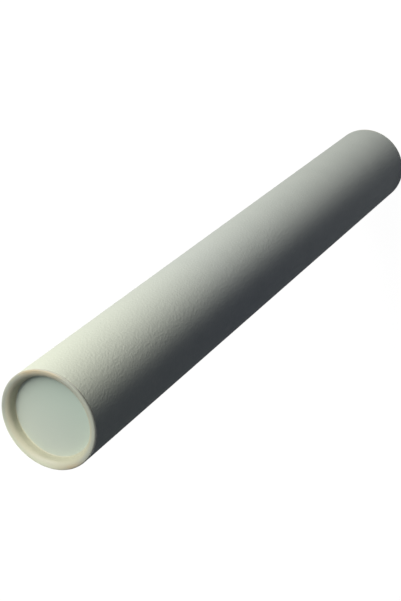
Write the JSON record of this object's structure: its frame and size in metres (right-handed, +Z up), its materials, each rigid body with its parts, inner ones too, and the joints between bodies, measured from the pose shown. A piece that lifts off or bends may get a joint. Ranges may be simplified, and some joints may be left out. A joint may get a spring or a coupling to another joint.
{
  "type": "document tube",
  "caption": "White wound paperboard tube for rolled documents, closed at each end by a push-in plastic cap with a sunk panel. The caps pull off along the tube's axis.",
  "frame": {"origin": "middle of the lower cap's rim, on the surface that the tube stands on", "axes": "+Z up along the tube's axis, towards the end that the picture shows; X and Y across it"},
  "size_m": [0.082, 0.082, 0.6604],
  "materials": {
    "white_paperboard": "matte",
    "white_cap_plastic": "matte"
  },
  "bodies": {
    "tube": {"tube": "white_paperboard"},
    "top_cap": {"top_end_cap": "white_cap_plastic"},
    "bottom_cap": {"bottom_end_cap": "white_cap_plastic"}
  },
  "joints": [
    {"name": "top_cap_pull", "type": "slide", "parent": "tube", "child": "top_cap", "axis": [0, 0, 1], "range_m": [0, 0.08]},
    {"name": "bottom_cap_pull", "type": "slide", "parent": "tube", "child": "bottom_cap", "axis": [0, 0, -1], "range_m": [0, 0.08]}
  ]
}
